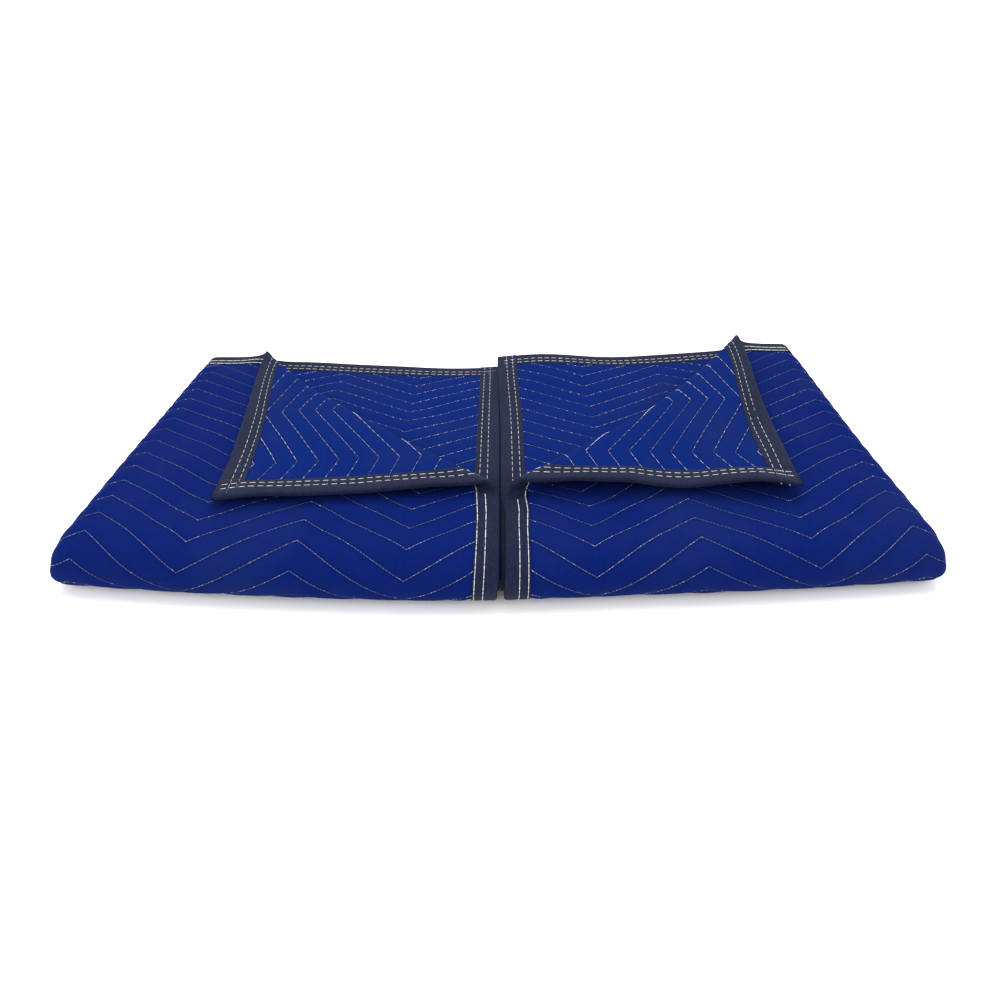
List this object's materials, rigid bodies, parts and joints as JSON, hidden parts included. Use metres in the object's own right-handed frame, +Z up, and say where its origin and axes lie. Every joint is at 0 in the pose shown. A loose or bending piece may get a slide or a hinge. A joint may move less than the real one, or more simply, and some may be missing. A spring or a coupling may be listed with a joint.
{
  "type": "folded moving blanket",
  "caption": "Quilted moving blanket folded into a flat stack of layers, with two top corners turned back and a stitched binding round its edges.",
  "frame": {"origin": "centre of the folded stack's bounding box, on the surface that it lies on", "axes": "+Z up, -Y towards the rounded front fold, +X to the right along the fold"},
  "size_m": [1.016, 0.4936, 0.1144],
  "materials": {
    "quilted_cloth": "matte woven cloth, quilted in pale thread",
    "binding_tape": "matte woven tape, stitched in pale thread"
  },
  "bodies": {
    "root": {"quilted_cloth": "quilted_cloth", "end_binding_left": "binding_tape", "end_binding_right": "binding_tape", "side_binding_top": "binding_tape", "side_binding_second": "binding_tape"}
  },
  "joints": []
}
